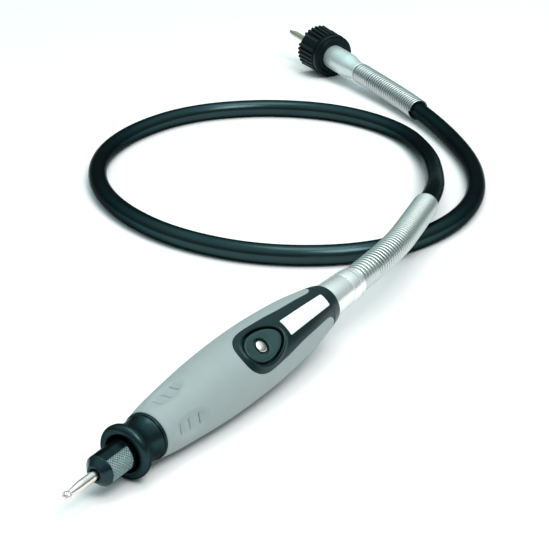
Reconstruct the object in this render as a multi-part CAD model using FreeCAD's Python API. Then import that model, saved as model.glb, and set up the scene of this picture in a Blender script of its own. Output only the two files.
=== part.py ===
import FreeCAD, Part
import math
import os

V = FreeCAD.Vector

# ---------------------------------------------------------------- driving dimensions (mm)
TILT = 3.30            # the handpiece lies nose down on its nose ring and belly, degrees
Y_SHIFT = -54.28       # puts the origin under the middle of the handpiece
ROLL = 41.0            # the panel faces this far round from the top towards +X, degrees

GRIP_T = 1.20          # thickness of the soft grip
FIT = 0.05             # radial clearance of running fits and between nested shells

SHEATH_R = 4.10        # outer radius of the rubber sheath
SHEATH_IN = 3.30
LINER_R = 3.25         # wound steel lining
LINER_IN = 2.20
CORE_R = 1.60          # wound wire core
GUARD_R = 5.35         # wire guards
GUARD_IN = 4.15

BEAR_ID = 4.00         # 8 x 14 x 4 mm ball bearings, as radii
BEAR_OD = 7.00
BEAR_W = 4.00
FRONT_BEARING = 20.0   # station of the front bearing's front face
REAR_BEARING = 88.0

SHANK_R = 1.5875       # 3.175 mm bit shank
BALL_R = 1.45
BALL_S = -26.10
NUT_FRONT = -13.4
NUT_REAR = 6.3
NUT_R = 5.10
NUT_FLAT = 4.92        # half the width across flats
THREAD_R = 3.55        # spindle nose, 9/32 in thread, shown as a plain cylinder
LOCK_S = 65.3          # station of the lock pin
LOCK_R = 4.45
LOCK_TRAVEL = 1.70

FERRULE_END = 135.0    # rear end of the handpiece's ferrule
SHEATH_START = 125.0
GUARD_START = 129.0

# far end: B is the middle of the coupling nut's back face, D points along its axis to the drive tip
FAR_B = V(-172.90, 408.46, 11.50)
FAR_D = V(-0.88696, 0.45355, 0.08716)
CNUT_LEN = 18.0
CNUT_R = 11.75         # over the ribs at the flange; the nut widens to CNUT_R2 at its open end
CNUT_R2 = 12.30
CNUT_BORE = 9.00       # inside of the 3/4-12 thread, shown as a plain cylinder
DFER_R = 6.40
TIP_END = 46.3
TIP_R = 1.5875         # free end of the drive tip, 3.175 mm across
TIP_JOURNAL = 1.90      # the tip where it turns in the bushing
SHEATH_END = -13.0     # station of the sheath's end in the drive ferrule
GUARD_END = -26.5     # the far guard starts against the end of the ferrule's neck

# outer profile of the handpiece behind the nose: station, radius
BODY = [(12.2, 8.05), (14, 8.42), (18, 9.08), (26, 9.98), (36, 10.95), (46, 11.65), (56, 12.03),
        (66, 12.13), (76, 11.90), (86, 11.30), (96, 10.42), (103, 9.42), (109, 8.50)]

# half outline of the teardrop panel: station, half width
PANEL = [(53.0, 0.0), (53.9, 3.9), (57.2, 6.85), (60.3, 7.95), (63.7, 8.30), (70, 8.05), (76.5, 7.6), (84, 6.85),
         (92, 6.35), (100, 5.85), (104.5, 5.75), (107.0, 6.4), (108.6, 7.8), (109.2, 10.2)]

# route of the sheath's centreline, one point per bend, before Y_SHIFT. The first lies in the handpiece's ferrule
# and the last in the drive ferrule; the points between are where the photograph shows the loop, on the floor except
# where the guard passes over the outer strand
ROUTE_MID = [(0.0, 161.5), (-11.0, 202.9, 17.2), (-22.1, 239.5, 15.2), (-40.4, 274.8, 9.0), (-61.4, 308.4, 4.9),
             (-90.6, 335.8, 4.15), (-129.9, 345.3, 4.15), (-166.8, 332.3, 4.15), (-192.8, 303.3, 4.15),
             (-198.6, 265.0, 4.15), (-189.3, 227.1, 4.15), (-166.4, 195.1, 4.15), (-134.4, 172.2, 4.15),
             (-96.5, 160.5, 4.15), (-56.6, 164.8, 4.15), (-23.1, 189.5, 4.15), (-11.2, 227.4, 4.15),
             (-15.7, 265.7, 4.15), (-33.3, 301.0, 4.15), (-57.8, 330.6, 4.35), (-91.4, 360.4, 5.75)]


# ---------------------------------------------------------------- helpers
def curve(pts):
    c = Part.BSplineCurve()
    c.interpolate([V(p[1], p[0], 0) for p in pts])
    return c


def rev(outline):
    """solid of revolution about the Y axis from a closed outline; items are (station, radius) points or edges"""
    edges, last, first = [], None, None
    for it in outline:
        if isinstance(it, tuple):
            p = V(it[1], it[0], 0)
            if last is not None and p.sub(last).Length > 1e-7:
                edges.append(Part.LineSegment(last, p).toShape())
            last = p
            first = first or p
        else:
            a, b = it.Vertexes[0].Point, it.Vertexes[-1].Point
            if last is not None and a.sub(last).Length > b.sub(last).Length:
                a, b = b, a
            if last is not None and a.sub(last).Length > 1e-7:
                edges.append(Part.LineSegment(last, a).toShape())
            edges.append(it)
            last = b
            first = first or a
    if last.sub(first).Length > 1e-7:
        edges.append(Part.LineSegment(last, first).toShape())
    f = Part.Face(Part.Wire(Part.__sortEdges__(edges)))
    s = f.revolve(V(0, 0, 0), V(0, 1, 0), 360)
    if s.ShapeType != "Solid":
        s = s.Solids[0] if s.Solids else Part.Solid(s.Shells[0])
    if s.Volume < 0:
        s.reverse()
    return s


def cyl(r, s0, s1):
    return Part.makeCylinder(r, s1 - s0, V(0, s0, 0), V(0, 1, 0))


def ring(ri, ro, s0, s1):
    return cyl(ro, s0, s1).cut(cyl(ri, s0 - 1, s1 + 1))


def body_edge(off, s0=None, s1=None, n=0):
    """edge of the body profile, moved inwards by off, between two stations"""
    c = curve([(s, r - off) for s, r in BODY])
    a = c.parameter(V(c.value(c.FirstParameter).x, BODY[0][0], 0)) if s0 is None else par_at(c, s0)
    b = c.LastParameter if s1 is None else par_at(c, s1)
    return c.toShape(a, b)


def par_at(c, s):
    lo, hi = c.FirstParameter, c.LastParameter
    for _ in range(60):
        m = (lo + hi) / 2
        if c.value(m).y < s:
            lo = m
        else:
            hi = m
    return (lo + hi) / 2


def radius_at(s, off=0.0):
    c = curve(BODY)
    return c.value(par_at(c, s)).x - off


def tidy(s):
    s = s.removeSplitter()
    if s.ShapeType != "Solid" and len(s.Solids) == 1:
        s = s.Solids[0]
    return s


# the frame of the panel: u along the handpiece, v round it, w outwards
C, S = math.cos(math.radians(ROLL)), math.sin(math.radians(ROLL))


def panel_place(shape):
    """takes a shape built with w along +Z and turns it about the handpiece's axis to where the panel faces"""
    s = shape.copy()
    s.rotate(V(0, 0, 0), V(0, 1, 0), ROLL)
    return s


# handpiece frame to row frame
def place(shape):
    s = shape.copy()
    s.rotate(V(0, 0, 0), V(1, 0, 0), TILT)
    s.translate(V(0, Y_SHIFT, Z0))
    return s


def at(s, x=0.0, z=0.0):
    """a point of the handpiece frame in the row frame"""
    t = math.radians(TILT)
    return V(x, s * math.cos(t) - z * math.sin(t) + Y_SHIFT, Z0 + s * math.sin(t) + z * math.cos(t))


# height of the axis at station 0, so that the lowest point of the nose ring and the belly is on the floor
def lowest():
    t = math.radians(TILT)
    c = curve(BODY)
    best = 9.10 * math.cos(t) - 1.35 * math.sin(t) + 0.002
    for i in range(801):
        p = c.value(c.FirstParameter + (c.LastParameter - c.FirstParameter) * i / 800)
        best = max(best, p.x * math.cos(t) - p.y * math.sin(t))
    return best


Z0 = lowest()
parts = {}

# ---------------------------------------------------------------- cutter, collet and nut
tip = Part.makeSphere(BALL_R, V(0, BALL_S, 0))
neck = rev([(BALL_S, 0), (BALL_S, 0.98), (-24.7, 0.98), (-24.1, 1.08), (-20.0, SHANK_R), (5.0, SHANK_R), (5.4, 1.2), (5.4, 0)])
parts["cutter_bit"] = tidy(tip.fuse(neck))

collet = rev([(-11.3, SHANK_R + 0.02), (-11.3, 2.15), (-6.4, 3.05), (-5.2, 3.05), (-5.0, 2.20), (6.6, 2.20),
              (6.6, SHANK_R + 0.02)])
for k in (0, 1):
    slot = Part.makeBox(0.42, 15.0, 8.0, V(-0.21, -12.0, -4.0))
    slot.rotate(V(0, 0, 0), V(0, 1, 0), 45 + 90 * k)
    collet = collet.cut(slot)
parts["collet"] = collet

nut = rev([(NUT_FRONT, 2.02), (NUT_FRONT, 2.85), (-11.0, NUT_R), (NUT_REAR - 0.4, NUT_R), (NUT_REAR, NUT_R - 0.4),
           (NUT_REAR, THREAD_R + FIT), (-4.9, THREAD_R + FIT), (-4.9, 3.20), (-6.4, 3.16), (-11.6, 2.22), (-12.1, 2.02)])
for k in range(4):
    flat = Part.makeBox(20, 13.5, 5, V(-10, NUT_FRONT - 1, NUT_FLAT))
    flat.rotate(V(0, 0, 0), V(0, 1, 0), 90 * k + 17)
    nut = nut.cut(flat)
parts["collet_nut"] = tidy(nut)

# ---------------------------------------------------------------- spindle, with its lock holes and square socket
spindle = rev([(-4.6, 2.25), (-4.6, THREAD_R), (12.0, THREAD_R), (12.4, BEAR_ID), (18.9, BEAR_ID), (18.9, 3.70),
               (19.9, 3.70), (19.9, BEAR_ID), (24.0, BEAR_ID), (24.0, 4.60), (26.0, 4.60), (26.0, LOCK_R), (86.0, LOCK_R), (86.0, 4.60), (88.0, 4.60), (88.0, BEAR_ID),
               (93.4, BEAR_ID), (93.4, 3.4), (100.0, 3.4), (100.0, 0), (8.0, 0), (8.0, 2.25)])
for k in range(4):
    hole = Part.makeCylinder(1.75, 3.0, V(0, LOCK_S, 2.6), V(0, 0, 1))
    hole.rotate(V(0, 0, 0), V(0, 1, 0), ROLL + 90 * k)
    spindle = spindle.cut(hole)
spindle = spindle.cut(Part.makeBox(3.3, 15.5, 3.3, V(-1.65, 84.5, -1.65)))
parts["spindle"] = spindle

# split ring in the spindle's groove, which holds the front bearing against the spindle's shoulder
snap = ring(3.72, 4.75, 18.95, 19.85)
parts["front_snap_ring"] = snap.cut(Part.makeBox(1.6, 3, 8, V(-0.8, 18, 0)))

# square end of the core in the spindle's socket, then the round core as far as the ferrule
core_front = Part.makeBox(3.2, 15.0, 3.2, V(-1.6, 85.0, -1.6)).common(cyl(2.15, 84, 101))
core_front = core_front.fuse(cyl(CORE_R, 99.5, SHEATH_START - 0.3))
parts["core_front_end"] = tidy(core_front)


# ---------------------------------------------------------------- bearings
def bearing(s0):
    m, h = s0 + BEAR_W / 2, BEAR_W / 2
    rb, pc = 1.0, 5.5
    groove = Part.makeTorus(pc, rb + 0.03, V(0, m, 0), V(0, 1, 0))
    outer = ring(6.2, BEAR_OD, s0, s0 + BEAR_W).cut(groove)
    inner = ring(BEAR_ID, 4.8, s0, s0 + BEAR_W).cut(groove)
    balls = []
    for k in range(8):
        a = math.radians(45 * k)
        balls.append(Part.makeSphere(rb, V(pc * math.sin(a), m, pc * math.cos(a))))
    cage = ring(5.15, 5.85, m - 1.3, m + 1.3)
    for k in range(8):
        a = math.radians(45 * k)
        cage = cage.cut(Part.makeCylinder(rb + 0.06, 4, V(3.5 * math.sin(a), m, 3.5 * math.cos(a)),
                                          V(math.sin(a), 0, math.cos(a))))
    return outer, inner, Part.makeCompound(balls), tidy(cage)


for name, s0 in (("front", FRONT_BEARING), ("rear", REAR_BEARING)):
    o, i, b, c = bearing(s0)
    parts[name + "_bearing_outer_race"] = o
    parts[name + "_bearing_inner_race"] = i
    parts[name + "_bearing_balls"] = b
    parts[name + "_bearing_cage"] = c

# wave washer between the rear bearing and the ferrule, shown flat
parts["preload_washer"] = ring(5.6, 6.8, 92.05, 92.75)

# ---------------------------------------------------------------- nose cap
lip = Part.Arc(V(6.55, -0.35, 0), V(8.15, -0.25, 0), V(9.10, 1.35, 0)).toShape()
flare = Part.Arc(V(9.10, 1.35, 0), V(8.85, 2.35, 0), V(8.10, 3.30, 0)).toShape()
waist = curve([(3.30, 8.10), (5.2, 7.58), (7.6, 7.32), (9.6, 7.38), (11.3, 7.70)]).toShape()
cap = rev([lip, flare, waist, (11.8, 7.95), (12.15, 7.95), (12.15, 6.75), (16.0, 7.20), (16.0, BEAR_OD - 0.02),
           (FRONT_BEARING - 0.02, BEAR_OD - 0.02), (FRONT_BEARING - 0.02, 6.0), (17.5, 4.55), (8.0, 4.55), (8.0, 6.10),
           (1.2, 6.10), (0.2, 6.18)])
parts["nose_cap"] = cap

# ---------------------------------------------------------------- grip sleeve, housing and panel
skin = rev([(12.2, 0), (12.2, BODY[0][1]), body_edge(0), (109.0, 0)])
core_in = rev([(12.0, 0), (12.0, BODY[0][1] - GRIP_T), (12.2, BODY[0][1] - GRIP_T), body_edge(GRIP_T),
               (109.2, BODY[-1][1] - GRIP_T), (109.2, 0)])


def outline(pts, s_end):
    """closed outline in the panel's u, v plane: a smooth curve through the mirrored points, closed at the rear"""
    half = [V(v, u, 0) for u, v in pts]
    full = [V(-p.x, p.y, 0) for p in reversed(half[1:])] + half
    c = Part.BSplineCurve()
    c.interpolate(full)
    a, b = full[0], full[-1]
    return Part.Wire([c.toShape(), Part.LineSegment(b, V(b.x, s_end, 0)).toShape(),
                      Part.LineSegment(V(b.x, s_end, 0), V(a.x, s_end, 0)).toShape(),
                      Part.LineSegment(V(a.x, s_end, 0), a).toShape()])


def prism(wire, w0, w1):
    f = Part.Face(wire)
    s = f.extrude(V(0, 0, w1 - w0))
    s.translate(V(0, 0, w0))
    return s


cutter = panel_place(prism(outline(PANEL, 116.0), 3.0, 20.0))
grip = skin.cut(core_in).cut(cutter)
parts["grip_sleeve"] = max(grip.Solids, key=lambda s: s.Volume)

PANEL_IN = [(u + (0.06 if v < 1 else 0.0), max(0.0, v - 0.06)) for u, v in PANEL]
base = rev([(16.1, BEAR_OD), (16.1, radius_at(16.1, GRIP_T + FIT)), body_edge(GRIP_T + FIT, 16.1),
            (109.0, BODY[-1][1] - GRIP_T - FIT), (109.0, 6.0), (90.0, 6.0), (30.0, 5.0), (24.1, 5.0), (24.1, BEAR_OD)])
panel = panel_place(prism(outline(PANEL_IN, 109.0), 6.0, 20.0)).common(
    rev([(40, 5.9), (40, radius_at(40)), body_edge(0, 40), (109.0, BODY[-1][1]), (109.0, 5.9)]))
collar = rev([(109.06, 6.0), (109.06, 8.47), (111.0, 8.12), (113.2, 7.68),
              Part.Arc(V(7.68, 113.2, 0), V(7.42, 114.0, 0), V(6.80, 114.4, 0)).toShape(), (114.4, 6.0)])
collar_in = rev([(108.8, 6.0), (108.8, 7.22), (109.2, 7.22), (109.2, 6.0)])
housing = base.fuse([panel, collar, collar_in])
# bores: front bearing, between the bearings, rear bearing and ferrule
housing = housing.cut(cyl(BEAR_OD, 15, 24.1))
housing = housing.cut(cyl(5.40, 20, 100))
housing = housing.cut(cyl(BEAR_OD, REAR_BEARING, 104.0)).cut(cyl(6.74, 103.0, 118))

# oval pocket of the lock button, its spring seat and the pin's hole
BTN_A, BTN_B = 9.00, 5.20      # half length and half width of the button
BTN_S, BTN_GAP = 66.2, 0.90    # its middle, and the gap round it


def oval(a, b, z0, z1, s_c):
    """egg-shaped prism, a little wider towards the nose"""
    pts = []
    for k in range(24):
        t = 2 * math.pi * k / 24
        u = a * math.cos(t)
        v = b * math.sin(t) * (1.0 - 0.10 * math.cos(t))
        pts.append(V(v, s_c + u, 0))
    c = Part.BSplineCurve()
    c.interpolate(pts, PeriodicFlag=True)
    f = Part.Face(Part.Wire(c.toShape()))
    s = f.extrude(V(0, 0, z1 - z0))
    s.translate(V(0, 0, z0))
    return s


pocket = oval(BTN_A + BTN_GAP, BTN_B + BTN_GAP, 7.0, 20, BTN_S)
pocket = pocket.fuse(Part.makeCylinder(2.75, 2.0, V(0, LOCK_S, 5.9), V(0, 0, 1)))
pocket = pocket.fuse(Part.makeCylinder(1.55, 5.0, V(0, LOCK_S, 3.0), V(0, 0, 1)))
housing = housing.cut(panel_place(pocket))

button = oval(BTN_A, BTN_B, 8.9, 20, BTN_S).common(
    rev([(50, 0), (50, radius_at(50, 0.25)), body_edge(0.25, 50, 80), (80, 0)]))
button = button.cut(Part.makeSphere(44.0, V(0, LOCK_S, 44.0 + 10.75)))
button = button.cut(Part.makeCylinder(3.10, 5.0, V(0, LOCK_S, 9.4), V(0, 0, 1)))
button = button.cut(Part.makeCylinder(1.50, 5.0, V(0, LOCK_S, 8.0), V(0, 0, 1)))
parts["lock_button"] = panel_place(tidy(button))

pin = Part.makeCylinder(1.50, 9.4 - 4.75, V(0, LOCK_S, 4.75), V(0, 0, 1))
head = Part.makeCylinder(2.15, 1.90, V(0, LOCK_S, 9.4), V(0, 0, 1))
head = head.common(Part.makeSphere(5.0, V(0, LOCK_S, 11.30 - 5.0)))
parts["lock_pin"] = panel_place(tidy(pin.fuse(head)))

# return spring round the pin
helix = Part.makeHelix(0.86, 2.6, 2.15)
prof = Part.Wire(Part.makeCircle(0.17, V(2.15, 0, 0), V(0, 1, 0)))
spring = Part.Wire(helix.Edges).makePipeShell([prof], True, True)
if spring.ShapeType != "Solid":
    spring = Part.Solid(spring)
spring.translate(V(0, LOCK_S, 6.1))
parts["lock_spring"] = panel_place(spring)

# label plate: a thin plate bent to the panel
LABEL = [(79.0, 3.05), (107.2, 2.45)]
lab_wire = Part.makePolygon([V(-LABEL[0][1], LABEL[0][0], 0), V(LABEL[0][1], LABEL[0][0], 0),
                             V(LABEL[1][1], LABEL[1][0], 0), V(-LABEL[1][1], LABEL[1][0], 0),
                             V(-LABEL[0][1], LABEL[0][0], 0)])
shell = rev([(76, radius_at(76, 0.30)), body_edge(0.30, 76, 108.5), (108.5, radius_at(108.5, -0.12)),
             body_edge(-0.12, 76, 108.5)])
label = panel_place(prism(lab_wire, 5.0, 20.0)).common(shell)
parts["label_plate"] = tidy(label)
housing = housing.cut(parts["label_plate"])
housing = max(housing.Solids, key=lambda s: s.Volume)
parts["inner_housing"] = housing

# ---------------------------------------------------------------- rear ferrule
parts["rear_ferrule"] = rev([
    (92.80, 2.20), (92.80, 5.2), (94.0, 6.4), (96.0, BEAR_OD - 0.01), (103.9, BEAR_OD - 0.01), (103.9, 6.72), (113.9, 6.72), (114.3, 6.64),
    (126.25, 6.36), (126.3, 6.2), (126.6, 6.2), (126.65, 6.34), (131.6, 6.18), (132.1, 5.95), (FERRULE_END, 5.85),
    (FERRULE_END, GUARD_R + 0.02), (GUARD_START - 0.05, GUARD_R + 0.02), (GUARD_START - 0.05, SHEATH_R + 0.02),
    (SHEATH_START - 0.05, SHEATH_R + 0.02), (SHEATH_START - 0.05, 2.20)])
# the spindle's rear journal turns inside the ferrule's mouth
parts["rear_ferrule"] = parts["rear_ferrule"].cut(cyl(4.6, 92.0, 101.0))

parts = {k: place(v) for k, v in parts.items()}

# ---------------------------------------------------------------- the flexible shaft
T_FAR = FAR_D.normalize()
B_FAR = FAR_B.add(V(0, Y_SHIFT, 0))


def far(t):
    return B_FAR.add(V(T_FAR).multiply(t))


route = [at(SHEATH_START)]
for p in ROUTE_MID:
    route.append(at(p[1]) if len(p) == 2 else V(p[0], p[1] + Y_SHIFT, p[2]))
route.append(far(-46.5))
route.append(far(SHEATH_END))


def path(points):
    """straight runs joined by tangent arcs; each item is (length, function from length to point)"""
    out, radii, start = [], [], points[0]
    for i in range(1, len(points) - 1):
        a, p, b = points[i - 1], points[i], points[i + 1]
        r1, r2 = p.sub(a), b.sub(p)
        l1, l2 = r1.Length, r2.Length
        u1, u2 = V(r1).normalize(), V(r2).normalize()
        turn = u1.getAngle(u2)
        cut = 0.45 * min(l1, l2)
        R = cut / math.tan(turn / 2)
        radii.append(R)
        q1 = p.sub(V(u1).multiply(cut))
        out.append(("L", start, q1))
        side = u2.sub(V(u1).multiply(u1.dot(u2))).normalize()
        centre = q1.add(V(side).multiply(R))
        out.append(("A", centre, V(side).multiply(-1), V(u1), R, turn))
        start = p.add(V(u2).multiply(cut))
    out.append(("L", start, points[-1]))
    return out, radii


def seg_len(s):
    return s[2].sub(s[1]).Length if s[0] == "L" else s[4] * s[5]


def seg_pt(s, x):
    if s[0] == "L":
        d = V(s[2].sub(s[1])).normalize()
        return s[1].add(d.multiply(x))
    a = x / s[4]
    return s[1].add(V(s[2]).multiply(s[4] * math.cos(a))).add(V(s[3]).multiply(s[4] * math.sin(a)))


def seg_dir(s, x):
    if s[0] == "L":
        return V(s[2].sub(s[1])).normalize()
    a = x / s[4]
    return V(s[2]).multiply(-math.sin(a)).add(V(s[3]).multiply(math.cos(a)))


SEGS, RADII = path(route)
TOTAL = sum(seg_len(s) for s in SEGS)


def sub_path(l0, l1):
    """edges of the path between two lengths, with the start point and direction"""
    edges, x, first = [], 0.0, None
    for s in SEGS:
        n = seg_len(s)
        a, b = max(l0 - x, 0.0), min(l1 - x, n)
        if b - a > 1e-4:
            if first is None:
                first = (seg_pt(s, a), seg_dir(s, a))
            if s[0] == "L":
                edges.append(Part.LineSegment(seg_pt(s, a), seg_pt(s, b)).toShape())
            else:
                edges.append(Part.Arc(seg_pt(s, a), seg_pt(s, (a + b) / 2), seg_pt(s, b)).toShape())
        x += n
    return Part.Wire(edges), first[0], first[1]


def tube(l0, l1, ro, ri=None):
    wire, p, d = sub_path(l0, l1)
    out = wire.makePipeShell([Part.Wire(Part.makeCircle(ro, p, d))], True, False)
    if out.ShapeType != "Solid":
        out = Part.Solid(out)
    if ri:
        inn = wire.makePipeShell([Part.Wire(Part.makeCircle(ri, p, d))], True, False)
        if inn.ShapeType != "Solid":
            inn = Part.Solid(inn)
        out = out.cut(inn)
        out = out.Solids[0]
    if out.Volume < 0:
        out.reverse()
    return out


GUARD1_LEN = 99.5           # sheath covered by the handpiece's guard, from the sheath's start
GUARD2_LEN = 78.0           # and by the far guard, from the sheath's far end
parts["outer_sheath"] = tube(0, TOTAL, SHEATH_R, SHEATH_IN)
parts["casing_liner"] = tube(0, TOTAL, LINER_R, LINER_IN)
parts["flexible_core"] = tube(0.1, TOTAL - 0.1, CORE_R)
parts["handle_spring_guard"] = tube(GUARD_START - SHEATH_START, GUARD1_LEN, GUARD_R, GUARD_IN)
parts["drive_spring_guard"] = tube(TOTAL - GUARD2_LEN, TOTAL + GUARD_END - SHEATH_END, GUARD_R, GUARD_IN)

print("route radii (mm):", [round(r) for r in RADII])
print("sheath length %.1f mm, volume %.1f, section x length %.1f" % (
    TOTAL, parts["outer_sheath"].Volume, math.pi * (SHEATH_R ** 2 - SHEATH_IN ** 2) * TOTAL))

# ---------------------------------------------------------------- far end
rot = FreeCAD.Rotation(V(0, 1, 0), T_FAR)


def place_far(shape):
    s = shape.copy()
    s.Placement = FreeCAD.Placement(B_FAR, rot).multiply(s.Placement)
    return s


far_parts = {}
far_parts["coupling_nut"] = rev([
    (0.0, 6.50), (0.0, 10.3), (0.35, 10.75), (0.6, 11.48), (2.6, 11.48), (2.9, 11.0), (3.5, 11.0), (3.8, CNUT_R),
    (CNUT_LEN - 0.7, CNUT_R2), (CNUT_LEN, CNUT_R2 - 0.7), (CNUT_LEN, CNUT_BORE + 0.4),
    (CNUT_LEN - 0.6, CNUT_BORE), (4.2, CNUT_BORE), (4.2, 6.50)])
dfer = rev([
    (GUARD_END + 0.05, SHEATH_R + 0.02), (GUARD_END + 0.05, 4.75), (GUARD_END + 0.25, 4.90), (-22.5, 4.95), (-15.0, DFER_R), (4.4, DFER_R), (4.4, 6.0), (12.0, 6.0),
    (12.4, 5.6), (12.4, 3.0), (-4.0, 3.0), (-4.0, 2.2), (SHEATH_END + 0.05, 2.2), (SHEATH_END + 0.05, SHEATH_R + 0.02)])
far_parts["drive_ferrule"] = dfer
far_parts["nut_retaining_ring"] = rev([(4.42, 6.0), (4.42, 8.4), (6.4, 8.4), (6.8, 8.0), (6.8, 6.0)])
far_parts["ferrule_bushing"] = ring(TIP_JOURNAL + FIT, 2.98, -3.9, 12.4)
tipw = rev([(SHEATH_END + 0.35, 0), (SHEATH_END + 0.35, TIP_JOURNAL), (12.6, TIP_JOURNAL), (12.9, TIP_R), (TIP_END - 2.6, TIP_R), (TIP_END, 0.9), (TIP_END, 0)])
# the tip is flattened to a blade
for sgn in (1, -1):
    w = Part.makeBox(6, 8, 3, V(-3, TIP_END - 5.5, 0))
    w.rotate(V(0, TIP_END - 5.5, 0), V(1, 0, 0), -9)
    w.translate(V(0, 0, 1.5))
    if sgn < 0:
        w.rotate(V(0, 0, 0), V(0, 1, 0), 180)
    tipw = tipw.cut(w)
far_parts["drive_tip"] = tidy(tipw)
for k, v in far_parts.items():
    parts[k] = place_far(v)

# ---------------------------------------------------------------- write the pieces
os.makedirs("parts", exist_ok=True)
for name in sorted(parts):
    s = parts[name]
    if not s.isValid():
        print("NOT VALID", name)
    if name not in ("front_bearing_balls", "rear_bearing_balls") and len(s.Solids) != 1:
        print("SOLIDS", name, len(s.Solids))
    s.exportStep("parts/%s.step" % name)

bb = FreeCAD.BoundBox()
for name, s in parts.items():
    if name in ("outer_sheath", "casing_liner", "flexible_core", "handle_spring_guard", "drive_spring_guard",
                "drive_ferrule", "ferrule_bushing", "nut_retaining_ring", "coupling_nut", "drive_tip"):
        continue
    bb.add(s.optimalBoundingBox())
print("box without the cord x %.3f %.3f y %.3f %.3f z %.3f %.3f, Z0 %.3f" % (bb.XMin, bb.XMax, bb.YMin, bb.YMax, bb.ZMin, bb.ZMax, Z0))
print("lowest points of the cord's pieces:", {k: round(parts[k].optimalBoundingBox().ZMin, 2) for k in (
    "outer_sheath", "handle_spring_guard", "drive_spring_guard", "drive_ferrule", "coupling_nut")})
print(len(parts), "pieces")
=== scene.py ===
import math
import bpy
import numpy as np
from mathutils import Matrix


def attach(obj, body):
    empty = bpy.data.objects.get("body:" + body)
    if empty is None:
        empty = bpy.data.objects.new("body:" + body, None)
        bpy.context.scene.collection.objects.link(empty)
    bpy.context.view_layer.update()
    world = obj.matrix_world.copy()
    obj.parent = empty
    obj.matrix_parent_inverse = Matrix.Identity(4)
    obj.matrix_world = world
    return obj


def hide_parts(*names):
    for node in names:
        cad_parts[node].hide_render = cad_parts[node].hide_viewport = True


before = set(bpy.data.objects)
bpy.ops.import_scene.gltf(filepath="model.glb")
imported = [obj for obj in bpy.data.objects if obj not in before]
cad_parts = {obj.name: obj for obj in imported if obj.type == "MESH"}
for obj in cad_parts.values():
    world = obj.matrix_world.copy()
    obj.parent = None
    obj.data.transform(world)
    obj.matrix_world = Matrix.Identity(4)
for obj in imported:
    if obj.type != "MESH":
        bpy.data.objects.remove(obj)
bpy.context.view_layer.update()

MM = 0.001
PI = math.pi

# ---------------------------------------------------------------- the handpiece's and the far end's own frames (mm)
TILT = math.radians(3.30)
Y_SHIFT, Z0 = -54.28, 9.009
ROLL = math.radians(41.0)
CT, ST = math.cos(TILT), math.sin(TILT)
FAR_B = np.array([-172.90, 408.46 + Y_SHIFT, 11.50])
FAR_D = np.array([-0.88696, 0.45355, 0.08716])
FAR_D = FAR_D / np.linalg.norm(FAR_D)
FAR_X = np.cross(FAR_D, [0, 0, 1.0])
FAR_X = FAR_X / np.linalg.norm(FAR_X)
FAR_Z = np.cross(FAR_X, FAR_D)


def hand(x, s, z):
    """handpiece frame (across, station, up) to the row frame, in mm"""
    x, s, z = np.broadcast_arrays(np.asarray(x, float), np.asarray(s, float), np.asarray(z, float))
    return np.stack([x, s * CT - z * ST + Y_SHIFT, Z0 + s * ST + z * CT], -1)


def hand_polar(s, r, a):
    """station, radius and angle from the middle of the panel"""
    return hand(r * np.sin(ROLL + a), s, r * np.cos(ROLL + a))


def hand_panel(u, v, w):
    """station, width across the panel and height over the axis, where w points out of the panel"""
    c, s = math.cos(ROLL), math.sin(ROLL)
    return hand(v * c + w * s, u, -v * s + w * c)


def far_polar(t, r, a):
    t, r, a = np.broadcast_arrays(np.asarray(t, float), np.asarray(r, float), np.asarray(a, float))
    return (FAR_B + t[..., None] * FAR_D + (r * np.cos(a))[..., None] * FAR_Z + (r * np.sin(a))[..., None] * FAR_X)


def spline(xs, ys):
    """natural cubic through the points, as a function"""
    xs, ys = np.asarray(xs, float), np.asarray(ys, float)
    n = len(xs)
    h = np.diff(xs)
    A = np.eye(n)
    b = np.zeros(n)
    for i in range(1, n - 1):
        A[i, i - 1], A[i, i], A[i, i + 1] = h[i - 1], 2 * (h[i - 1] + h[i]), h[i]
        b[i] = 3 * ((ys[i + 1] - ys[i]) / h[i] - (ys[i] - ys[i - 1]) / h[i - 1])
    c = np.linalg.solve(A, b)
    d = np.diff(c) / (3 * h)
    bb = np.diff(ys) / h - h * (2 * c[:-1] + c[1:]) / 3

    def f(x):
        x = np.asarray(x, float)
        i = np.clip(np.searchsorted(xs, x) - 1, 0, n - 2)
        t = x - xs[i]
        return ys[i] + bb[i] * t + c[i] * t ** 2 + d[i] * t ** 3
    return f


BODY = [(12.2, 8.05), (14, 8.42), (18, 9.08), (26, 9.98), (36, 10.95), (46, 11.65), (56, 12.03),
        (66, 12.13), (76, 11.90), (86, 11.30), (96, 10.42), (103, 9.42), (109, 8.50)]
RB = spline([p[0] for p in BODY], [p[1] for p in BODY])

# ---------------------------------------------------------------- materials
M = {}


def new_material(name):
    m = bpy.data.materials.new(name)
    m.use_nodes = True
    nt = m.node_tree
    p = nt.nodes["Principled BSDF"]
    M[name] = m
    return m, nt, p


def node(nt, kind, **kw):
    n = nt.nodes.new(kind)
    for k, v in kw.items():
        if k.startswith("i_"):
            n.inputs[k[2:].replace("_", " ")].default_value = v
        else:
            setattr(n, k, v)
    return n


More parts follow.
